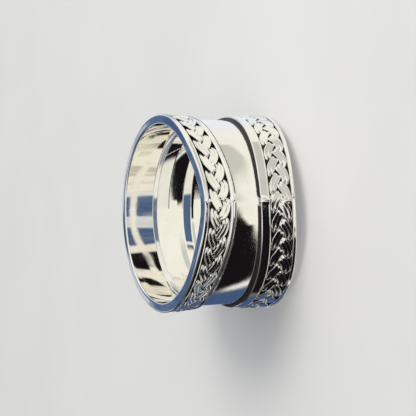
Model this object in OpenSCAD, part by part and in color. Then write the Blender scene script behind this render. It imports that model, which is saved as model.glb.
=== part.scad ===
// Statement ring: a wide band with a plain sunk middle between two plaited bands.
// The metal is one soldered piece. It lies on its side: the finger hole runs along Z
// and the lower rim rests on Z = 0. Millimetres, +Z up.

/* [Ring] */
// outside diameter over the two rims
outer_d = 21.2; // [21:0.05:21.8]
// width of the ring along the finger
ring_w = 11.5; // [11.4:0.1:12.4]
// narrowest diameter of the finger hole, inside the sunk middle
bore_d = 18.2; // [17.9:0.05:18.4]
// diameter of the finger hole inside the two plaited bands
band_bore_d = 18.9; // [18.7:0.05:19]
// softening of the four edges of the two rims
rim_soft = 0.22; // [0.12:0.01:0.24]

/* [Middle] */
// width of the plain middle at its floor
middle_w = 3.6; // [3.2:0.1:3.8]
// how far the middle lies under the rims
middle_sink = 0.6; // [0.5:0.02:0.66]
// how far the two steps beside the middle lean
step_lean = 0.14; // [0.1:0.01:0.18]

/* [Bands] */
// width of the rail along each rim
rim_rail_w = 0.75; // [0.65:0.01:0.85]
// width of the rail between each plait and the middle
inner_rail_w = 0.72; // [0.65:0.01:0.8]
// how much lower the inner rails are than the rims
inner_drop = 0.2; // [0.1:0.01:0.24]
// depth of the channels the plaits lie in
channel_depth = 0.58; // [0.5:0.01:0.6]

/* [Plait] */
// arcs along each side of a plait, in threes because there are three strands
arcs = 33; // [30:3:36]
// width of one doubled strand at its foot
strand_w = 0.95; // [0.85:0.01:0.97]
// height of the strands over the channel floor
strand_h = 0.5; // [0.4:0.01:0.54]
// depth of the groove between the two wires of a strand
groove = 0.1; // [0.05:0.01:0.14]

/* [Hidden] */

half_w = ring_w / 2;
outer_r = outer_d / 2;
bore_r = bore_d / 2;
band_bore_r = band_bore_d / 2;
middle_r = outer_r - middle_sink;
// where the parts of a band start and end, measured from the middle of the ring's width
rail_a = middle_w / 2 + step_lean;
rail_b = middle_w / 2 + inner_rail_w;
rim_a = half_w - rim_rail_w;
// the bands lean: their surface rises evenly from the inner rail to the rim
function lean(t) = outer_r - inner_drop * (rim_a - t) / (rim_a - rail_a);
edge_soft = 0.09;
arc_steps = 3;

// Half the ring's section as [radius, place across the width, softening], from the middle out and back in.
section = [
    [middle_r, middle_w / 2, 0.05],
    [lean(rail_a), rail_a, edge_soft],
    [lean(rail_b), rail_b, edge_soft],
    [lean(rail_b) - channel_depth, rail_b, 0],
    [outer_r - channel_depth, rim_a, 0],
    [outer_r, rim_a, edge_soft],
    [outer_r, half_w, rim_soft],
    [band_bore_r, half_w, rim_soft],
    [band_bore_r, 2.4, 0.3],
    [bore_r, 2, 0.3]
];

function unit(v) = v / norm(v);

// A corner b between a and c as a short arc of radius b[2]; a sharp corner stays one point.
function corner(a, b, c) =
    b[2] == 0 ? [[b[0], b[1]]] :
    let (p = [b[0], b[1]],
         u = unit([a[0], a[1]] - p),
         v = unit([c[0], c[1]] - p),
         half = acos(u * v) / 2,
         centre = p + unit(u + v) * b[2] / sin(half),
         from = p + u * b[2] / tan(half) - centre,
         to = p + v * b[2] / tan(half) - centre,
         turn = acos(unit(from) * unit(to)),
         way = sign(from[0] * to[1] - from[1] * to[0]))
    [for (i = [0 : arc_steps])
        let (w = way * turn * i / arc_steps)
        centre + [from[0] * cos(w) - from[1] * sin(w), from[0] * sin(w) + from[1] * cos(w)]];

// The half section with its softened corners; both ends lie on the middle line.
function half_section(s) =
    let (n = len(s), ends = concat([[s[0][0], -1, 0]], s, [[s[n - 1][0], -1, 0]]))
    [for (i = [1 : n]) each corner(ends[i - 1], ends[i], ends[i + 1])];

module body() {
    upper = half_section(section);
    points = concat(
        [for (p = upper) [p[0], half_w + p[1]]],
        [for (i = [len(upper) - 1 : -1 : 0]) [upper[i][0], half_w - upper[i][1]]]);
    rotate_extrude($fn = 360) polygon(points);
}

// The plait is flat and has three doubled strands. A strand swings across the channel as a sine,
// once for every three arcs, so each visible arc is a stretch of that sine: it comes out beside
// the arc before it, bends along the rail, crosses the middle line and goes under the other side.
plait_t = (rail_b + rim_a) / 2;
plait_w = rim_a - rail_b;
swing = (plait_w - strand_w) / 2;
arc_turn = 360 / arcs;
foot = 0.12;
// The five lines along a strand: [place across the strand, height over the floor, first and last angle of the sine]
lines = [
    [-0.5, -foot, 91, 167],
    [-0.4, strand_h, 81, 173],
    [0, strand_h - groove, 60, 183],
    [0.4, strand_h, 48, 190],
    [0.5, -foot, 46, 191]
];
stations = 5;

// One line of the strand at share s of its length, as [angle round the ring, place across, height].
function strand_point(line, s) =
    let (a = line[2] + (line[3] - line[2]) * s,
         r = outer_r - 0.3,
         per_degree = arc_turn * 3 / 360,
         along = a * per_degree * r * PI / 180,
         slope = swing * cos(a) / (per_degree * r),
         side = unit([-slope, 1]) * line[0] * strand_w,
         rise = line[1] < 0 ? 1 : 0.5 + 0.5 * sin(180 * pow(s, 1.2)))
    [(along + side[0]) / r * 180 / PI, swing * sin(a) + side[1], line[1] * rise];

// A strand point on the ring; way is 1 or -1 for the two sides of a plait.
function on_ring(q, way) =
    let (t = plait_t + way * q[1], r = lean(t) - channel_depth + q[2])
    [r * cos(q[0]), r * sin(q[0]), t];

module arc_of_strand(way) {
    m = len(lines);
    points = [for (i = [0 : stations]) for (l = lines) on_ring(strand_point(l, i / stations), way)];
    skin = [for (i = [0 : stations - 1]) for (k = [0 : m - 1])
        let (a = i * m + k, b = i * m + (k + 1) % m)
        each [[a, b, b + m], [a, b + m, a + m]]];
    caps = [for (k = [1 : m - 2])
        each [[0, k + 1, k], [stations * m, stations * m + k, stations * m + k + 1]]];
    faces = concat(skin, caps);
    polyhedron(points, way > 0 ? faces : [for (f = faces) [f[0], f[2], f[1]]]);
}

module plait() {
    for (i = [0 : arcs - 1]) {
        rotate([0, 0, i * arc_turn]) arc_of_strand(1);
        rotate([0, 0, (i + 0.5) * arc_turn]) arc_of_strand(-1);
    }
}

module ring() {
    color([0.8, 0.79, 0.76]) {
        body();
        translate([0, 0, half_w]) mirror([0, 1, 0]) plait();
        translate([0, 0, half_w]) mirror([0, 0, 1]) plait();
    }
}

ring();
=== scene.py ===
# %% [markdown]
# # A wide silver ring with two plaited bands
# The ring lies on its side on a pale floor: its finger hole runs straight up. It has a plain
# sunk middle between two raised bands, and in each band a flat plait lies in a channel between
# two smooth rails. The CAD model gives the sizes and the place. Here each part of it is made
# again as a much finer surface, gets a worn silver finish, and is lit and seen as in the photo.

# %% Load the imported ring
import math

import bpy
import numpy as np
from mathutils import Matrix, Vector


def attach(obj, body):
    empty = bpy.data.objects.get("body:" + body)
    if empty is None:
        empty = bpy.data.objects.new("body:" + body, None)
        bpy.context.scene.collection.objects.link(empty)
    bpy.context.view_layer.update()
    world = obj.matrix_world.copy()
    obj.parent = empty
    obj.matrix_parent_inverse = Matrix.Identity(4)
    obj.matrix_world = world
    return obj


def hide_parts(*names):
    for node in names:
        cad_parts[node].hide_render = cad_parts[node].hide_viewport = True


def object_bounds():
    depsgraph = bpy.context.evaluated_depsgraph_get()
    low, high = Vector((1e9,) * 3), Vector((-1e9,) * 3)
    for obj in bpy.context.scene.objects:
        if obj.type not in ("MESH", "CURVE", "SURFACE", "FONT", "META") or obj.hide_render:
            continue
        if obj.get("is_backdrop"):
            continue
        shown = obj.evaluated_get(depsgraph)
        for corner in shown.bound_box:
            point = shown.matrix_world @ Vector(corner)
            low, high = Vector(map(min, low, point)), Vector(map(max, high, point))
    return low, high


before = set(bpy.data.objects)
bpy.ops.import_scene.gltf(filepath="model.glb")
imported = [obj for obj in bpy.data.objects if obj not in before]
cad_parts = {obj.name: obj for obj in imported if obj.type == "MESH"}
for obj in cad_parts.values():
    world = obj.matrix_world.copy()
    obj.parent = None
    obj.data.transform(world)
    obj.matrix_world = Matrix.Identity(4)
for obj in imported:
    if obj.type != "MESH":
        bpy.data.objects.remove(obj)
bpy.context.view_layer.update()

# %% [markdown]
# ## Sizes
# The CAD source works in millimetres, and so does this file until a mesh is made, because a
# ring is small and 0.1 mm is easy to picture. The place across the width is measured from the
# middle of the width, so that the two bands are mirror images of each other.

# %% The ring's own sizes, in millimetres
MM = 0.001
OUTER_R, BORE_R, BAND_BORE_R = 10.6, 9.1, 9.45
HALF_W = 5.75
MIDDLE_HALF, MIDDLE_SINK, STEP_LEAN = 1.8, 0.6, 0.14
RIM_RAIL, INNER_RAIL, INNER_DROP = 0.75, 0.72, 0.2
CHANNEL_DEPTH = 0.58
RAIL_A = MIDDLE_HALF + STEP_LEAN
RAIL_B = MIDDLE_HALF + INNER_RAIL
RIM_A = HALF_W - RIM_RAIL
RAIL_R = OUTER_R - INNER_DROP
WALL_R = 9.8  # inside the wall: more is the ring's outside, less is the finger hole


def lean(t):
    """Radius of a band's surface: it rises evenly from the inner rail to the rim."""
    return OUTER_R - INNER_DROP * (RIM_A - t) / (RIM_A - RAIL_A)


print("channel", round(RIM_A - RAIL_B, 3), "mm wide,", CHANNEL_DEPTH, "mm deep")

# %% [markdown]
# ## The pinch at the joint
# The CAD model is even all round, and the real ring is not. Its plaited bands are strips that
# were bent round and soldered end to end. At that joint they lie closest together, with a narrow,
# fuller middle between them, and each band is also narrower there. Away from the joint they part
# and the far rim flares out. So the lines that run round the ring, such as where a rail starts,
# are given at the joint and away from it, and each angle gets its own share of the two.
# Everything is made on the even ring first and then moved by this rule. The metal also stands a
# little higher at the joint, as a soft peak, and the ring is 2 % out of round.

# %% Six lines: the middle line, the middle's edge, the inner rail's two, the rim rail's two
JOINT = math.radians(-83)
EVEN = np.array([0, MIDDLE_HALF, RAIL_A, RAIL_B, RIM_A, HALF_W])
AT_JOINT = {1: np.array([0, 1.40, 1.50, 2.10, 4.42, 5.08]),
            -1: np.array([0, 1.12, 1.28, 2.30, 4.68, 5.12])}
AWAY = {1: np.array([0, 2.10, 2.20, 2.75, 4.95, 5.60]),
        -1: np.array([0, 2.10, 2.45, 3.45, 6.12, 6.53])}
SPREAD = {1: np.array([32, 32, 32, 32, 28, 26.0]), -1: np.full(6, 50.0)}  # degrees
FULLER = 0.42  # share of the middle's depth that is gone at the joint
PEAK, PEAK_SPREAD = 0.07, 6.0  # height in mm and reach in degrees
OVAL, SHIFT = 0.981, 0.47  # width along x as a share, and a shift across the width in mm


def degrees_off(turn):
    """Degrees from the joint, from -180 to 180."""
    return np.degrees(np.mod(turn - JOINT + np.pi, 2 * np.pi) - np.pi)


def parting(turn, spread=36.0):
    """0 at the joint and 1 far from it: 1 - exp(-(degrees from the joint / spread) squared)."""
    return 1 - np.exp(-(degrees_off(turn) / spread) ** 2)


def settle(turn, place, band):
    """Moves places across the width from the even ring's lines to the lines at each angle: a
    place keeps its share of the way between the same two lines. band is 1 or -1."""
    share = parting(turn[..., None], SPREAD[band])
    lines = AT_JOINT[band] + (AWAY[band] - AT_JOINT[band]) * share
    place = np.abs(place)
    here = np.clip(np.searchsorted(EVEN, place, side="right") - 1, 0, len(EVEN) - 2)
    part = (place - EVEN[here]) / (EVEN[here + 1] - EVEN[here])
    shape = np.broadcast(place, turn).shape
    lines = np.broadcast_to(lines, (*shape, len(EVEN)))
    here, part = np.broadcast_to(here, shape)[..., None], np.broadcast_to(part, shape)
    low = np.take_along_axis(lines, here, -1)[..., 0]
    high = np.take_along_axis(lines, here + 1, -1)[..., 0]
    return band * (low + (high - low) * part)


def on_ring(radius, turn, place):
    """Points at a radius, an angle round the ring and a place across it. The real ring is a
    little out of round, so x is radius x cos(angle) x oval and y is radius x sin(angle), and the
    place is shifted so that the widest part of the pinched ring is centred on the CAD model."""
    x, y = OVAL * radius * np.cos(turn), radius * np.sin(turn)
    return np.stack(np.broadcast_arrays(x, y, place + SHIFT + HALF_W), -1)


print("half the middle: at the joint", AT_JOINT[1][1], AT_JOINT[-1][1],
      "mm, away", AWAY[1][1], AWAY[-1][1], "mm")

# %% [markdown]
# ## From a grid of points to a mesh
# Every piece here is a surface that closes on itself both ways, like a tube bent into a ring.
# Such a surface is a grid of points: one index goes round the ring and the other goes round the
# section. Blender could sweep a curve or spin a profile, but a grid worked out with numpy lets
# each point carry its own number too. That number tells the finish how dark the metal is there:
# black patina in the hollows, and painted shade on the upper band's rail edge.

# %% Closed grid to mesh
def closed_squares(n, m, first):
    """Each square joins [i, j], [i+1, j], [i+1, j+1] and [i, j+1], with both indices counted
    round, so there is no seam and no open edge. first is the number of the first point."""
    index = first + np.arange(n * m).reshape(n, m)
    ahead, beside = np.roll(index, -1, 0), np.roll(index, -1, 1)
    return np.stack([index, ahead, np.roll(ahead, -1, 1), beside], -1).reshape(-1, 4)


def linked_piece(name, spots, faces):
    """An object in the scene whose mesh has these spots, in metres, and these faces."""
    mesh = bpy.data.meshes.new(name)
    mesh.from_pydata(spots.tolist(), [], faces.tolist())
    piece = bpy.data.objects.new(name, mesh)
    bpy.context.scene.collection.objects.link(piece)
    return piece


def closed_piece(name, grids):
    """One piece of closed surfaces. Each grid is (points[i, j] in mm, darkness[i, j]), where the
    darkness is 0 on polished metal and 1 where it is black, which is patina in the hollows and
    painted shade on the upper band's rail edge, and is kept as an attribute."""
    starts = np.cumsum([0] + [points[..., 0].size for points, _ in grids])
    quads = np.concatenate([closed_squares(*points.shape[:2], first)
                            for (points, _), first in zip(grids, starts)])
    spots = np.concatenate([points.reshape(-1, 3) for points, _ in grids]) * MM
    piece = linked_piece(name, spots, quads)
    piece.data.polygons.foreach_set("use_smooth", np.ones(len(quads), bool))
    depths = np.concatenate([patina_and_shade.ravel() for _, patina_and_shade in grids]).astype(np.float32)
    piece.data.attributes.new("patina_and_shade", "FLOAT", "POINT").data.foreach_set("value", depths)
    a, b, c, d = spots[quads].transpose(1, 0, 2)
    volume = ((a * np.cross(b, c)).sum() + (a * np.cross(c, d)).sum()) / 6 * 1e9
    print(name, len(quads) * 2, "triangles, volume", round(volume, 1), "mm3")
    return piece


# %% [markdown]
# ## Small unevenness
# A polished ring is never perfect: hand polishing leaves faces that swell by a few thousandths
# of a millimetre, and that is what bends its reflections. A sum of sine waves with random
# starts gives such swells. Each wave turns a whole number of times round the ring, so the
# surface meets itself after a full turn.

# %% Swells from a few waves
def swells(turn, across, waves, size, turns, tightness, seed):
    """A sum of cosines of (whole turns x angle + tightness x place + start), each with its own
    random whole turns up to `turns` and tightness up to `tightness`, scaled to about size."""
    pick = np.random.default_rng(seed)
    total = np.zeros(np.broadcast(turn, across).shape)
    for _ in range(waves):
        total += np.cos(pick.integers(1, turns + 1) * turn
                        + pick.uniform(-tightness, tightness) * across
                        + pick.uniform(0, 2 * np.pi))
    return total * size / math.sqrt(waves / 2)


# %% [markdown]
# ## The band body
# On the real ring this is the whole base casting: the plain middle, the two steps beside it,
# four rails, two channels and the finger hole. It is one outline turned round the ring's axis.
# The outline is a short table of corners, each with its softening, as in the CAD source, and with
# a number that says how dark the metal is left there: the channels are blackened on purpose, so
# that the plaits stand out. The two bands were finished by hand, so each half has its own
# softening. Each half also has its own darkness. In the steps and channels the darkness is black
# patina. On the upper band, the inner rail's edge beside the middle and the outer part of its top
# are darkened as painted shade that dims their highlight. Inside, the middle was pressed out over
# a mandrel and is not quite straight: it leans three ways, and each lean mirrors another part of
# the room. A row of corners on both sides of a change of lean keeps that change narrow.

# %% Corners of half the section, from the middle line out and back in
CORNERS = [  # radius, place across, then softening and darkness in the upper and the lower half
    [OUTER_R - MIDDLE_SINK, MIDDLE_HALF - 0.4, 0, 0, 0, 0],
    [OUTER_R - MIDDLE_SINK, MIDDLE_HALF, 0.13, 0.45, 0.13, 0.8],
    [OUTER_R - MIDDLE_SINK + 0.15, MIDDLE_HALF + 0.052, 0, 0.9, 0, 0.9],
    [lean(RAIL_A) - 0.08, RAIL_A - 0.028, 0, 0.9, 0, 0.9],
    # The upper half's darkness of 0.7 on this edge is painted shade that dims the edge's highlight
    # and fades across the rail's top; the lower half's 0 leaves the edge bright.
    [lean(RAIL_A), RAIL_A, 0.06, 0.7, 0.06, 0],
    [lean(RAIL_B), RAIL_B, 0.3, 0, 0.09, 0],
    [lean(RAIL_B) - CHANNEL_DEPTH, RAIL_B, 0, 1, 0, 1],
    [OUTER_R - CHANNEL_DEPTH, RIM_A, 0, 1, 0, 1],
    [OUTER_R, RIM_A, 0.26, 0, 0.12, 0],
    [OUTER_R, HALF_W, 0.2, 0, 0.2, 0],
    [BAND_BORE_R, HALF_W, 0.2, 0, 0.2, 0],
    [BAND_BORE_R, 2.28, 0.12, 0, 0.3, 0],
    [BORE_R, 2.06, 0.08, 0, 0.3, 0],
    *([BORE_R, place, 0, 0, 0, 0] for place in (1.24, 1.18, 1.12, 1.06, 0.56, 0.50, 0.44, 0.38)),
]

# Inside the middle: place across the width and how far the metal is pressed outwards there
PRESSED = [[-2.3, 0.408], [-1.18, 0.117], [-1.12, 0.110], [-0.5, 0.0965], [0, 0.0755],
           [0.44, 0.05], [0.50, 0.043], [2.06, -0.242]]
FLAT_STEP = 0.03


def soft_corner(before, at, after, steps=5):
    """The corner as an arc that touches both sides: it starts and ends where a circle of the
    softening's radius, pushed into the corner, meets them. One more point on each side, a flat
    step further on, keeps the flats beside it flat. A sharp corner stays one point."""
    here, radius = np.array(at[:2]), at[2]
    if radius == 0:
        return np.array([[*here, at[3]]])
    u, v = np.array(before[:2]) - here, np.array(after[:2]) - here
    u, v = u / np.linalg.norm(u), v / np.linalg.norm(v)
    half = np.arccos(u @ v) / 2
    centre = here + (u + v) / np.linalg.norm(u + v) * radius / np.sin(half)
    first = here + u * radius / np.tan(half) - centre
    last = here + v * radius / np.tan(half) - centre
    turn = np.arctan2(first[0] * last[1] - first[1] * last[0], first @ last)
    w = np.linspace(0, turn, steps + 1)
    arc = np.stack([first[0] * np.cos(w) - first[1] * np.sin(w),
                    first[0] * np.sin(w) + first[1] * np.cos(w)], 1) + centre
    arc = np.concatenate([arc[:1] + u * FLAT_STEP, arc, arc[-1:] + v * FLAT_STEP])
    return np.column_stack([arc, np.full(len(arc), at[3])])


def closed_section(longest=0.3):
    """Both halves of the section as one closed line of [radius, place, darkness], the lower one
    mirrored, with long straights split into steps of about `longest`."""
    halves = []
    for own in ([0, 1, 2, 3], [0, 1, 4, 5]):
        corners = np.array(CORNERS)[:, own]
        ends = [[corners[0][0], -1, 0, 0], *corners, [corners[-1][0], -1, 0, 0]]
        halves.append(np.concatenate([soft_corner(*ends[i:i + 3]) for i in range(len(corners))]))
    line = np.concatenate([halves[0], halves[1][::-1] * [1, -1, 1]])
    parts = []
    for here, there in zip(line, np.roll(line, -1, 0)):
        steps = max(1, int(np.linalg.norm((there - here)[:2]) / longest))
        parts.append(here + (there - here) * np.linspace(0, 1, steps, endpoint=False)[:, None])
    return np.concatenate(parts)


section = closed_section()
print("section:", len(section), "points")

# %% [markdown]
# The section is turned round the axis in even steps, with finer ones near the joint, where the
# solder is. Outside, the points then move to the pinched lines, and the floor of the middle
# rises towards the rails at the joint.

# %% Turning, swelling and pinching the section
def turn_steps(fine=5.0):
    """Even steps of 0.9 of a degree, and steps of an eighth within `fine` degrees of the joint."""
    joint = math.degrees(JOINT)
    even = np.arange(joint + fine, joint + 360 - fine, 0.9)
    return np.radians(np.concatenate([np.arange(joint - fine, joint + fine, 0.125), even]))


def swollen(turn, radius, across):
    """How far the swells move each point in radius and in place, along its own outward normal,
    which is square to the line from the point before to the point after. The swells are widest
    on the middle, stronger inside the finger hole, and finer on the rails."""
    along = np.roll(section[:, :2], -1, 0) - np.roll(section[:, :2], 1, 0)
    along /= np.linalg.norm(along, axis=1)[:, None]
    rail = (np.abs(across) > MIDDLE_HALF) & (radius > OUTER_R - 0.5)
    inside = radius < WALL_R
    lift = swells(turn, across, waves=14, size=0.005, turns=9, tightness=1.2, seed=3)
    lift += inside * swells(turn, across, waves=16, size=0.011, turns=9, tightness=0.9, seed=5)
    lift += rail * swells(turn, across, waves=20, size=0.0015, turns=60, tightness=3, seed=4)
    return along[:, 1] * lift, -along[:, 0] * lift


def settled(turn, radius, across):
    """Outside, a point keeps its share of the way between the pinched lines. Inside the finger
    hole it keeps its share of the way from the middle to the rim."""
    upper = across > 0
    outside = np.where(upper, settle(turn, across, 1), settle(turn, across, -1))
    rim = np.where(upper, settle(turn, HALF_W, 1), settle(turn, HALF_W, -1))
    return np.where(radius > WALL_R, outside, across / HALF_W * np.abs(rim))


def fuller_middle(turn, radius, across, r, crown=0.015):
    """At the joint the middle's depth under the rails shrinks by the share FULLER. Its floor is
    crowned: highest on the middle line, and lower with the square of the place."""
    share = np.minimum(np.abs(across), MIDDLE_HALF) / MIDDLE_HALF
    on_floor = radius < RAIL_R - 0.3
    depth = RAIL_R - radius - on_floor * crown * (1 - share ** 2)
    depth = depth * (1 - FULLER * (1 - parting(turn)))
    in_middle = (np.abs(across) <= RAIL_A) & (radius > WALL_R) & (radius < RAIL_R)
    return np.where(in_middle, RAIL_R - depth + r - radius, r)


print("steps round the ring:", len(turn_steps()))

# %% [markdown]
# Solder that was melted into the joint fills the channel there almost to the top, leaves a thin
# bead across the rails and a slanting streak on the far inner rail, and has a few black pits.

# %% The peak and the solder at the joint
def solder_line(turn, place):
    """Degrees from the solder's own wavering line, and how much solder lies there: 1 on the
    line, falling to 0 about 3 degrees away as exp(-(degrees / 2.3)^4)."""
    off = degrees_off(turn) + 1.3 * np.sin(2.6 * place + 0.6) + 0.4 * np.sin(9 * place)
    return off, np.exp(-(off / 2.3) ** 4)


def on_band(radius, across):
    """0 on the middle, 1 on the bands' outside, and the share of the way on the steps."""
    return np.clip((np.abs(across) - MIDDLE_HALF) / STEP_LEAN, 0, 1) * (radius > WALL_R)


def soldered(turn, radius, across, r):
    """The bands rise by the peak x exp(-degrees off / its spread). In the channels the solder's
    rough top takes the place of the floor. The bead and the streak are bell curves in degrees
    from their own lines, 0.035 and 0.04 mm high."""
    wide, band = np.abs(across), on_band(radius, across)
    off, solder = solder_line(turn, across)
    r = r + band * PEAK * np.exp(-np.abs(off) / PEAK_SPREAD)
    in_channel = (radius > WALL_R) & (radius < RAIL_R - 0.1)
    in_channel = in_channel & (wide > RAIL_B - 0.02) & (wide < RIM_A + 0.02)
    rough = 0.08 * np.sin(11 * across + 1.9 * off) * np.cos(6 * across - 2.3 * off)
    r = r + in_channel * solder * (lean(wide) - 0.07 + rough - radius)
    r = r + band * 0.035 * np.exp(-(off / 0.45) ** 2) * (1 + 0.5 * np.sin(17 * across))
    streak = degrees_off(turn) - 5.5 * (across + 2.15)
    on_far_rail = (across < -MIDDLE_HALF) & (across > -RAIL_B) & (radius > OUTER_R - 0.3)
    return r + on_far_rail * 0.04 * np.exp(-(streak / 1.1) ** 2)


def soldered_dark(turn, radius, across, dark):
    """Solder covers the black of the channels, and about one point in fourteen of it is a pit."""
    off, solder = solder_line(turn, across)
    pits = np.random.default_rng(6).random(off.shape) > 0.93
    pits = pits * (on_band(radius, across) > 0.5) * np.exp(-(off / 2.2) ** 4)
    return np.maximum(dark * (1 - 0.95 * solder), 0.8 * pits)


# %% [markdown]
# Inside the finger hole the middle is pressed as the list says, and the bands flare a little
# towards the rims. The upper rim's face is worn down, most on the side away from the joint.

# %% Turn the section round the axis
def pressed_inside(radius, across, r):
    """The pressed list on the middle, fading out towards the radius of the bands, and a flare
    of 0.03 mm for each mm beyond a place of 2.2 mm."""
    pressed = np.interp(across, *np.array(PRESSED).T)
    share = np.clip((BAND_BORE_R - radius) / (BAND_BORE_R - BORE_R), 0, 1)
    flare = np.maximum(0.03 * (np.abs(across) - 2.2), 0)
    return r + pressed * share + (radius < WALL_R) * flare


def worn_rim(turn, radius, across):
    """How far the upper rim's face lies lower: 0.15 of the way out from 0.2 mm beyond its inner
    edge, times a cosine that is 1 at 115 degrees and 0 opposite."""
    most = 0.5 + 0.5 * np.cos(turn - math.radians(115))
    return (across > HALF_W - 0.3) * most * 0.15 * np.clip(radius - BAND_BORE_R - 0.2, 0, 1)


def band_body():
    """Each section point goes round the axis. Its radius takes the swells, the fuller middle,
    the solder and the pressing in turn, and its place the pinch, the swells and the wear."""
    turn = turn_steps()[:, None]
    radius, across, dark = section.T
    outwards, sideways = swollen(turn, radius, across)
    r = fuller_middle(turn, radius, across, radius + outwards)
    r = pressed_inside(radius, across, soldered(turn, radius, across, r))
    t = settled(turn, radius, across) + sideways - worn_rim(turn, radius, across)
    dark = soldered_dark(turn, radius, across, dark)
    return closed_piece("band_body", [(on_ring(r, turn, t), dark)])


body = band_body()

# %% [markdown]
# ## The plaits
# Each channel holds a flat plait of three strands, and each strand is two wires side by side.
# A strand swings from rail to rail as a sine wave and runs on round the whole ring: every third
# arc along a rail belongs to the same strand, so the three strands are one curve, shifted by a
# third of its swing. It could be drawn as 132 separate arcs, as in the CAD model, but whole
# strands that rise over and dive under one another give the true dark gaps between them.
# The tops of the strands were polished flat, and that is a soft ceiling on their height.

# %% Height of a strand along its swing
ARCS = 33  # along each side of a plait
PERIODS = ARCS // 3
ARC_TURN = 180  # degrees of the swing from one side to the other
STRAND_W = 0.86
SWING = (RIM_A - RAIL_B - STRAND_W) / 2 - 0.05
PLAIT_T = (RAIL_B + RIM_A) / 2
CREST, DIP, FLAT = 0.53, 0.36, 0.56
START = {1: 4.4, -1: -3.4}  # degrees round the ring, for the upper and the lower plait


def over_and_under(a):
    """1 where the strand passes over (at 150 and 330 degrees of its swing), -1 where it passes
    under (at 210 and 30): a quick half cosine down, then a longer one up that starts fast."""
    u = np.mod(a - 150, ARC_TURN)
    return np.where(u < 60, np.cos(np.pi * u / 60),
                    -np.cos(np.pi * (np.maximum(u - 60, 0) / 120) ** 0.7))


def soft_ceiling(height, ceiling, blend=0.035):
    """The lower of the two, rounded where they meet: (a + b - sqrt((a - b)^2 + blend^2)) / 2."""
    return (height + ceiling - np.sqrt((height - ceiling) ** 2 + blend ** 2)) / 2


print("swing", round(SWING, 3), "mm, one arc every", round(360 / ARCS, 2), "degrees")

# %% The outline of a strand
WIRES = 2
WIRE_R = STRAND_W / 2 / WIRES
TOPS_END = -0.2  # the wires' tops lie above this height, and the foot below it


def wire_section():
    """The strand's outline as [place, height]: half circles side by side on top, each from 165
    to 15 degrees and pressed to 0.7 of its height, then straight sides down to a foot."""
    w = np.radians(np.linspace(165, 15, 9))
    middles = WIRE_R * (2 * np.arange(WIRES) + 1 - WIRES)
    tops = [np.column_stack([middle + WIRE_R * np.cos(w), 0.7 * WIRE_R * (np.sin(w) - 1)])
            for middle in middles]
    side = STRAND_W / 2
    foot = [[side, -0.24], [side, -0.5], [0, -0.5], [-side, -0.5], [-side, -0.24]]
    return np.concatenate([*tops, foot])


def step_up(value, low, high):
    """0 below low, 1 above high, and 3s^2 - 2s^3 of the share s between them."""
    share = np.clip((value - low) / (high - low), 0, 1)
    return share * share * (3 - 2 * share)


print("strand:", len(wire_section()), "points across", STRAND_W, "mm")

# %% Three strands as closed ribbons
STATIONS = 72 * PERIODS


def ceilings(pick, a, place):
    """The polished top of each arc, flat but a little higher or lower than the others (by about
    0.012 mm), tilted across the strand and nodding along it, each by its own random share."""
    arc = (np.mod(a + 150, 360 * PERIODS) // ARC_TURN).astype(int)
    level = FLAT + pick.normal(0, 0.012, 2 * PERIODS)[arc]
    tilt, nod = pick.normal(0, 0.025, (2, 2 * PERIODS))[:, arc]
    return level + tilt * place + nod * (np.mod(a + 150, ARC_TURN) - ARC_TURN / 2) / ARC_TURN


def plait(name, way, seed):
    """Each strand is the wire section carried along place = swing x sin(a), square to that
    line, at height crest + dip x over_and_under(a), under the soft ceiling. The angle round the
    ring is a / periods. way is 1 for the upper band and -1 for the lower, its mirror image."""
    pick = np.random.default_rng(seed)
    a = np.linspace(0, 360 * PERIODS, STATIONS, endpoint=False)[:, None]
    place, rise = wire_section().T
    slope = SWING * np.cos(np.radians(a)) * PERIODS / OUTER_R
    square = np.sqrt(1 + slope ** 2)
    x = np.radians(a / PERIODS) * OUTER_R - slope / square * place
    t = PLAIT_T + SWING * np.sin(np.radians(a)) + place / square
    unpolished = CREST + DIP * over_and_under(a) + rise
    ribbons = []
    for strand in range(3):
        polished = soft_ceiling(unpolished, ceilings(pick, a, place) + 0.035 * rise)
        height = np.where(rise > TOPS_END, polished, unpolished)
        turn = math.radians(START[way]) - way * (x / OUTER_R + strand * 2 * np.pi / ARCS)
        off, solder = solder_line(turn, way * t)
        r = lean(t) - CHANNEL_DEPTH + height + PEAK * np.exp(-np.abs(off) / PEAK_SPREAD)
        points = on_ring(r, turn, settle(turn, t, way))
        deep = FLAT - height
        between_wires = step_up(np.minimum(deep, -rise), 0.05, 0.12)
        patina_and_shade = np.maximum(step_up(deep, 0.1, 0.24), between_wires) * (1 - 0.8 * solder)
        ribbons.append((points[:, ::-1], patina_and_shade[:, ::-1]))
    return closed_piece(name, ribbons)


upper_plait = plait("upper_plait", 1, 11)
lower_plait = plait("lower_plait", -1, 12)

# %% [markdown]
# ## Joining the pieces to the CAD frame
# The real ring is one casting, so all three pieces ride on the model's only body and together
# stand for its one CAD node, which then stays hidden.

# %% Ride on the body, stand for the CAD node
for piece in (body, upper_plait, lower_plait):
    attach(piece, "root")
    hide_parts("ring")
    print(piece.name, "stands for the ring")

# %% [markdown]
# ## Node sums written as Python
# A shader is a small calculation done by nodes. Placing Math nodes by hand hides the formula, so
# one small class wraps a socket: adding or multiplying two wrapped sockets places the Math node
# and returns its result. Any other node comes from a single method.

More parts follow.
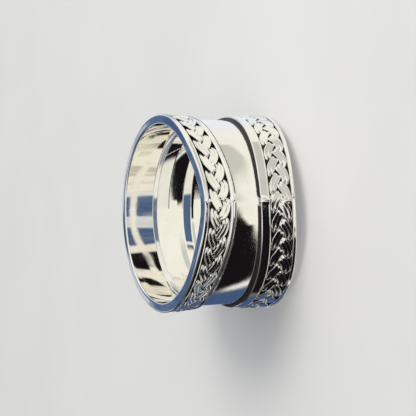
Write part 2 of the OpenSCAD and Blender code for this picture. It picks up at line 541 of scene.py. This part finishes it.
# %% A socket that can be added and multiplied
class Sum:
    """One output socket of a node tree. Sums, differences and products of it add Math nodes."""

    def __init__(self, tree, socket):
        self.tree, self.socket = tree, socket

    def node(self, kind, output=0, settings=None, **inputs):
        """Places a node of that kind, sets its settings first and then its sockets' values or
        links, and returns one of its outputs. Input names use _ for a space, or i and a number."""
        made = self.tree.nodes.new(kind)
        for key, value in (settings or {}).items():
            setattr(made, key, value)
        for key, value in inputs.items():
            numbered = key[0] == "i" and key[1:].isdigit()
            slot = made.inputs[int(key[1:]) if numbered else key.replace("_", " ")]
            if isinstance(value, Sum):
                self.tree.links.new(value.socket, slot)
            else:
                slot.default_value = value
        return Sum(self.tree, made.outputs[output])

    def other(self, output):
        """Another output of the node that this socket belongs to."""
        return Sum(self.tree, self.socket.node.outputs[output])

    def maths(self, operation, *values):
        """A Math node of that operation on the values."""
        return self.node("ShaderNodeMath", settings={"operation": operation},
                         **{f"i{i}": v for i, v in enumerate(values)})

    def __add__(self, other): return self.maths("ADD", self, other)
    def __radd__(self, other): return self.maths("ADD", other, self)
    def __sub__(self, other): return self.maths("SUBTRACT", self, other)
    def __rsub__(self, other): return self.maths("SUBTRACT", other, self)
    def __mul__(self, other): return self.maths("MULTIPLY", self, other)
    def __rmul__(self, other): return self.maths("MULTIPLY", other, self)
    def at_least(self, low): return self.maths("MAXIMUM", self, low)
    def at_most(self, high): return self.maths("MINIMUM", self, high)

    def between(self, low, high):
        """0 at low, 1 at high, smoothed, as step_up is for numpy."""
        return self.node("ShaderNodeMapRange", settings={"interpolation_type": "SMOOTHSTEP"},
                         Value=self, From_Min=low, From_Max=high)

    def until(self, low, high):
        """The other way round: 1 at low and 0 at high."""
        return 1 - self.between(low, high)

    def within(self, low, full, fall, high):
        """0 below low, 1 from full to fall, and 0 above high."""
        return self.between(low, full) * self.until(fall, high)

    def colours(self, low, high):
        """The colour between low, where this value is 0, and high, where it is 1."""
        return self.node("ShaderNodeMix", output=2, settings={"data_type": "RGBA"},
                         i0=self, i6=low, i7=high)


def new_material(name):
    """A material with an empty Principled shader, and the wrapper that starts its sums."""
    material = bpy.data.materials.new(name)
    material.use_nodes = True
    tree = material.node_tree
    shader = tree.nodes["Principled BSDF"]
    return material, shader, Sum(tree, None)


# %% [markdown]
# ## Worn silver, black in the recesses
# Cast silver like this is dipped until it turns black, and then polished: the high metal comes up
# white, and the black stays in the channels and between the wires. The darkness numbers of the
# mesh say where. They also paint shade on the upper band's rail edge beside the middle, which dims
# its highlight. A little noise frays the border, as a polishing wheel does. Fine rub marks run
# round the ring, so their noise is stretched: close set along Z, long in X and Y.

# %% The silver
POLISHED, CLOUDED = (0.94, 0.925, 0.885, 1), (0.90, 0.88, 0.83, 1)
BLACK_PATINA_AND_SHADE = (0.025, 0.022, 0.02, 1)


def silver(name, rub, haze):
    """Mixes polished silver and black by the darkness attribute, shifted by noise. The black is
    patina in the hollows and painted shade on the upper band's rail edge. rub is the strength of
    the rub marks' bump and haze the roughness of the cleanest metal."""
    material, shader, start = new_material(name)
    place = start.node("ShaderNodeTexCoord", output=3)
    patina_and_shade = start.node("ShaderNodeAttribute", output=2, settings={"attribute_name": "patina_and_shade"})
    fray = start.node("ShaderNodeTexNoise", settings={"noise_dimensions": "3D"},
                      Vector=place, Scale=4200.0, Detail=3.0, Roughness=0.6)
    black = (patina_and_shade + (fray - 0.5) * 0.35).between(0.3, 0.75)
    blotch = start.node("ShaderNodeTexNoise", settings={"noise_dimensions": "3D"},
                        Vector=place, Scale=520.0, Detail=4.0, Roughness=0.55)
    cloud = blotch.between(0.35, 0.7)
    # The black colour here is patina in the hollows and, on the upper band's rail edge, painted
    # shade.
    tone = black.colours(cloud.colours(POLISHED, CLOUDED), BLACK_PATINA_AND_SHADE)
    long = start.node("ShaderNodeMapping", Vector=place, Scale=(900.0, 900.0, 52000.0))
    marks = start.node("ShaderNodeTexNoise", settings={"noise_dimensions": "3D"},
                       Vector=long, Scale=1.0, Detail=2.0, Roughness=0.5)
    rough = haze + cloud * 0.02 + marks * 0.03 + black * 0.45
    bump = start.node("ShaderNodeBump", Height=marks + fray * black, Strength=rub,
                      Distance=0.00001)
    for made, slot in ((tone, "Base Color"), (rough, "Roughness"),
                       (1.0 - black * 0.75, "Metallic"), (bump, "Normal")):
        start.tree.links.new(made.socket, shader.inputs[slot])
    print(name, len(start.tree.nodes), "nodes")
    return material


body.data.materials.append(silver("polished silver", 0.03, 0.02))
plaited = silver("plaited silver", 0.06, 0.06)
for piece in (upper_plait, lower_plait):
    piece.data.materials.append(plaited)

# %% [markdown]
# ## Floor
# The ring rests on a plain pale floor, which lies at the lowest point of the flared rim. It
# takes the ring's soft shadow. It is left out of the ring's mirror image of the room, because
# in the photo the ring is held up in the air and mirrors the room itself.

# %% The floor
def plain_floor(size):
    """A flat square of four corners."""
    corners = np.array([[-1, -1, 0], [1, -1, 0], [1, 1, 0], [-1, 1, 0]]) * size / 2
    corners[:, 2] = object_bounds()[0][2]
    floor = linked_piece("floor", corners, np.array([[0, 1, 2, 3]]))
    material, shader, start = new_material("pale floor")
    place = start.node("ShaderNodeTexCoord", output=3)
    grain = start.node("ShaderNodeTexNoise", Vector=place, Scale=60.0, Detail=3.0)
    tone = grain.between(0.2, 0.8).colours((0.78, 0.78, 0.78, 1), (0.81, 0.81, 0.81, 1))
    start.tree.links.new(tone.socket, shader.inputs["Base Color"])
    shader.inputs["Roughness"].default_value = 0.9
    shader.inputs["Specular IOR Level"].default_value = 0.1
    floor.data.materials.append(material)
    floor.visible_glossy = False
    floor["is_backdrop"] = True
    print("floor at z =", round(corners[0, 2] * 1000, 3), "mm")
    return floor


floor = plain_floor(3.0)

# %% [markdown]
# ## The room as the silver sees it
# Polished silver has almost no look of its own: it shows the room. The world is that room. Its
# light depends on the direction: cream white towards +X, which is up in the photo, and nearly
# black towards -X, as the side of a studio tent with a dark flag. Smaller things are laid over
# the two. A face of the ring shows only the directions near its own lean, which is mostly the z
# of the direction, so z says which face of the ring a thing is seen in. All of it was placed
# for the angle of the photo: seen from elsewhere, its borders show as upright bands.
#
# Inside the finger hole light is mirrored from one side to the other, and the second mirror
# image has directions that the outside of the ring shows too. The Light Path node tells them
# apart by the depth of the ray. No real room could do that, and no material of the ring does.

# %% The direction, and how often the light was mirrored
world = bpy.data.worlds.new("room")
world.use_nodes = True
bpy.context.scene.world = world
room = Sum(world.node_tree, None)
way = room.node("ShaderNodeTexCoord", output=0)
split = room.node("ShaderNodeSeparateXYZ", Vector=way)
x, y, z = (split.other(axis) for axis in "XYZ")
by_camera = room.node("ShaderNodeLightPath")  # 1 for what the camera sees itself
# The depth is 2 after one mirror and 3 after two, so this is 1 after two or more
twice = by_camera.other("Ray Depth").between(2.4, 2.6)
print("room:", len(room.tree.nodes), "nodes for the direction")

# %% [markdown]
# Each thing in the room is a mask from 0 to 1: a product of borders, and each border is a
# smooth step of x, y, z or a sum of them. A slanting border is a step of such a sum. The first
# one parts the bright from the dark side, and in the photo it runs along the ring's outside.

# %% The bright side
level = z + 0.445  # 0 as an upright face on the near side mirrors it, more if it leans up
tongue = z.until(-0.42, -0.40)  # 1 on the middle and the upper band, 0 on the lower one
low = z.between(-0.51, -0.49)  # 0 on the upper band, which leans down, 1 on the middle
above, below = level.at_least(-0.006), (-0.027 - level).at_least(0.0)
reach = tongue * (0.20 + low * 0.17 - above * 5.0 + low * below * 30.0)
flag = y.until(-0.34, -0.26) * x.until(-0.34, -0.26)
# Bright is where x + reach is over 0.12, and where light was mirrored twice, all but the flag
bright = (x + reach).between(0.09, 0.15) + twice * (1 - flag)

# A grey screen with two slanting sides, on the bright side of the sunk middle
screen_sides = (y - level.at_most(0.025) * 11.0).until(-0.26, -0.2) \
    * (y + level * 20.0).between(-0.49, -0.43)
screen = (1 - twice) * screen_sides * level.between(-0.006, 0.002) \
    * z.until(-0.3, -0.25) * x.between(0.16, 0.24)
print("room:", len(room.tree.nodes), "nodes with the bright side")

# %% [markdown]
# On the dark side a white strip leans with z, and beyond it a cool blue screen begins. Faces
# that lean up see white light and faces that lean down see cream light. Those that lean down
# most see a dark end wall with a white line on it.

# %% The strip and what leaning faces see
slant = y - (z + 0.4535).at_least(-0.04).at_most(0.035) * 7.0 - z.until(-0.54, -0.50) * 0.6
strip = slant.within(0.09, 0.15, 0.22, 0.28) * (1 - z.between(-0.435, -0.42) * 0.85)
behind = slant.between(0.22, 0.28) * z.until(-0.27, -0.22)
up = z.between(-0.26, -0.20) * y.until(0.3, 0.5) * (x.between(-0.8, -0.3) * 0.93 + 0.07)
down = z.until(-0.635, -0.62) * (1 - x.until(-0.65, -0.5) * y.between(0.3, 0.45))
end_wall = z.until(-0.73, -0.715) * x.between(-0.36, -0.30) * y.until(-0.35, -0.25)
end_line = x.within(0.50, 0.52, 0.55, 0.57)
print("room:", len(room.tree.nodes), "nodes with the strip")

# %% [markdown]
# Cool and white patches lie far off towards +Y, where the rim face and the ring's flanks mirror
# them. `ahead` and `left` are parts of the room in the second mirror image, inside the finger
# hole. The overhead patch is seen by mirror rays alone, because it would tint the floor.

# %% Cool and white patches
patch = z.within(-0.41, -0.38, -0.2, -0.16) * y.between(0.5, 0.6)
blue_patch = patch * x.within(0.2, 0.26, 0.66, 0.72)
white_patch = patch * x.within(-0.26, -0.2, 0.2, 0.26) * 0.8
inner = twice * z.between(-0.43, -0.40)
ahead, left = inner * y.between(0.5, 0.6), x.until(-0.62, -0.56)
blue_in = ahead * x.within(-0.2, -0.14, 0.60, 0.66) + inner * left * y.between(0.0, 0.1)
white_in = ahead * (1 - left) * x.until(-0.2, -0.14) * 0.8
rim_cool = z.between(0.2, 0.35) * y.between(0.5, 0.8)
glow = z.within(0.02, 0.1, 0.22, 0.34) * y.between(0.6, 0.8)
overhead = z.between(0.76, 0.82) * x.within(-0.24, -0.18, 0.38, 0.44)
overhead = overhead * by_camera.other("Is Glossy Ray")
cloud = room.node("ShaderNodeTexNoise", Vector=way, Scale=14.0, Detail=3.0, Roughness=0.6)
crease = room.node("ShaderNodeTexNoise", Vector=way, Scale=5.0, Detail=2.0, Distortion=1.0)
creased = twice * crease.between(0.53, 0.60) * 0.65
print("room:", len(room.tree.nodes), "nodes with the patches")

# %% [markdown]
# The colours are laid over one another like sheets of paper: each mask mixes the colour so far
# with its own. The camera itself sees none of it, but a plain pale grey.

# %% Colours over one another
CREAM, WHITE, GREY = (0.95, 0.93, 0.84, 1), (0.97, 0.97, 0.95, 1), (0.60, 0.61, 0.56, 1)
COOL_WHITE, PALE, HAZE = (0.85, 0.90, 0.97, 1), (0.72, 0.74, 0.76, 1), (0.72, 0.78, 0.88, 1)
NEAR_BLACK, DARK_BLUE = (0.008, 0.007, 0.008, 1), (0.055, 0.10, 0.21, 1)
BACKGROUND = (0.62, 0.62, 0.63, 1)
cool = cloud.between(0.35, 0.7).colours((0.06, 0.11, 0.24, 1), (0.15, 0.21, 0.35, 1))
dark = (strip * 0.9).colours(behind.colours(NEAR_BLACK, DARK_BLUE), WHITE)
light = screen.colours(y.between(0.3, 0.7).colours(CREAM, COOL_WHITE), GREY)
shown = bright.colours(dark, creased.colours(light, (0.46, 0.43, 0.36, 1)))
end = x.between(0.55, 0.57).colours((0.09, 0.14, 0.25, 1), (0.03, 0.03, 0.035, 1))
for mask, colour in ((blue_patch, (0.08, 0.135, 0.25, 1)), (white_patch, PALE), (blue_in, cool),
                     (white_in, PALE), (rim_cool, cool), (glow * 0.8, HAZE), (up * 0.9, WHITE),
                     (overhead * 0.9, cool), (down * 0.9, CREAM),
                     (end_wall, (end_line * 0.8).colours(end, WHITE)), (by_camera, BACKGROUND)):
    shown = mask.colours(shown, colour)
room.tree.links.new(shown.socket, room.tree.nodes["Background"].inputs["Color"])
print("room:", len(room.tree.nodes), "nodes in all")

# %% [markdown]
# ## The lamp
# One big soft lamp stands above and to the +X side, so the shadow falls away from it.

# %% A soft lamp
def facing(right, up, back, spot):
    """The place of an object whose own X, Y and Z point right, up and back, at a spot."""
    turn = np.eye(4)
    turn[:3] = np.column_stack([right, up, back, spot])
    return Matrix(turn.tolist())


def soft_lamp(name, place, size, watts, colour):
    """A square lamp at a place in metres, aimed at the ring, and in no reflection."""
    lamp = bpy.data.objects.new(name, bpy.data.lights.new(name, "AREA"))
    lamp.data.shape, lamp.data.size = "SQUARE", size
    lamp.data.energy, lamp.data.color = watts, colour
    bpy.context.scene.collection.objects.link(lamp)
    spot = np.array(place, float)
    back = spot / np.linalg.norm(spot)
    side = np.cross([0, 0, 1], back)
    side /= np.linalg.norm(side)
    lamp.matrix_world = facing(side, np.cross(back, side), back, spot)
    lamp.visible_camera = lamp.visible_glossy = False
    print(name, "lamp", round(np.linalg.norm(spot) * 1000), "mm away")
    return lamp


soft_lamp("key", (0.30, -0.12, 0.35), 0.25, 1.0, (1, 0.97, 0.92))

# %% [markdown]
# ## The camera
# In the photo the ring is held with its finger hole level, seen from the side and slightly from
# the front. Here it lies on its rim, so the camera looks down on it by the same angle and is
# rolled on its side: +X is up in the picture. The angle, the distance and the lens come from
# fitting the outline of the ring and of its rims in the photo.

# %% Place and aim the camera
CAMERA_OFF, CAMERA_TILT, CAMERA_ROLL = 148.4, math.radians(65.3), math.radians(-1.11)
FOCAL_PX, FRAME_PX, CENTRE_PX = 1393.8, 416, (206.38, 212.55)
SENSOR_MM = 36.0


def photo_camera():
    """Backward points from the ring to the camera, tilted from the axis towards -Y. The aim is
    turned until the ring's centre falls on its pixel of the picture."""
    backward = np.array([0, -math.sin(CAMERA_TILT), math.cos(CAMERA_TILT)])
    level = np.array([0, -math.cos(CAMERA_TILT), -math.sin(CAMERA_TILT)])
    upward = np.array([1.0, 0, 0])
    right = math.cos(CAMERA_ROLL) * level + math.sin(CAMERA_ROLL) * upward
    up = math.cos(CAMERA_ROLL) * upward - math.sin(CAMERA_ROLL) * level
    spot = np.array([0, 0, HALF_W + SHIFT]) + CAMERA_OFF * backward
    dx, dy = FRAME_PX / 2 - CENTRE_PX[0], FRAME_PX / 2 - CENTRE_PX[1]
    aim = -backward * FOCAL_PX + right * dx - up * dy
    back = -aim / np.linalg.norm(aim)
    right = np.cross(up, back)
    right /= np.linalg.norm(right)
    camera = bpy.data.objects.new("camera", bpy.data.cameras.new("camera"))
    camera.data.sensor_width = SENSOR_MM
    camera.data.lens = SENSOR_MM * FOCAL_PX / FRAME_PX
    camera.data.clip_start, camera.data.clip_end = 0.01, 10.0
    bpy.context.scene.collection.objects.link(camera)
    camera.matrix_world = facing(right, np.cross(back, right), back, spot * MM)
    bpy.context.scene.camera = camera
    print("camera", CAMERA_OFF, "mm away, lens", round(camera.data.lens, 1), "mm")
    return camera


camera = photo_camera()
bpy.context.scene.view_settings.view_transform = "Standard"
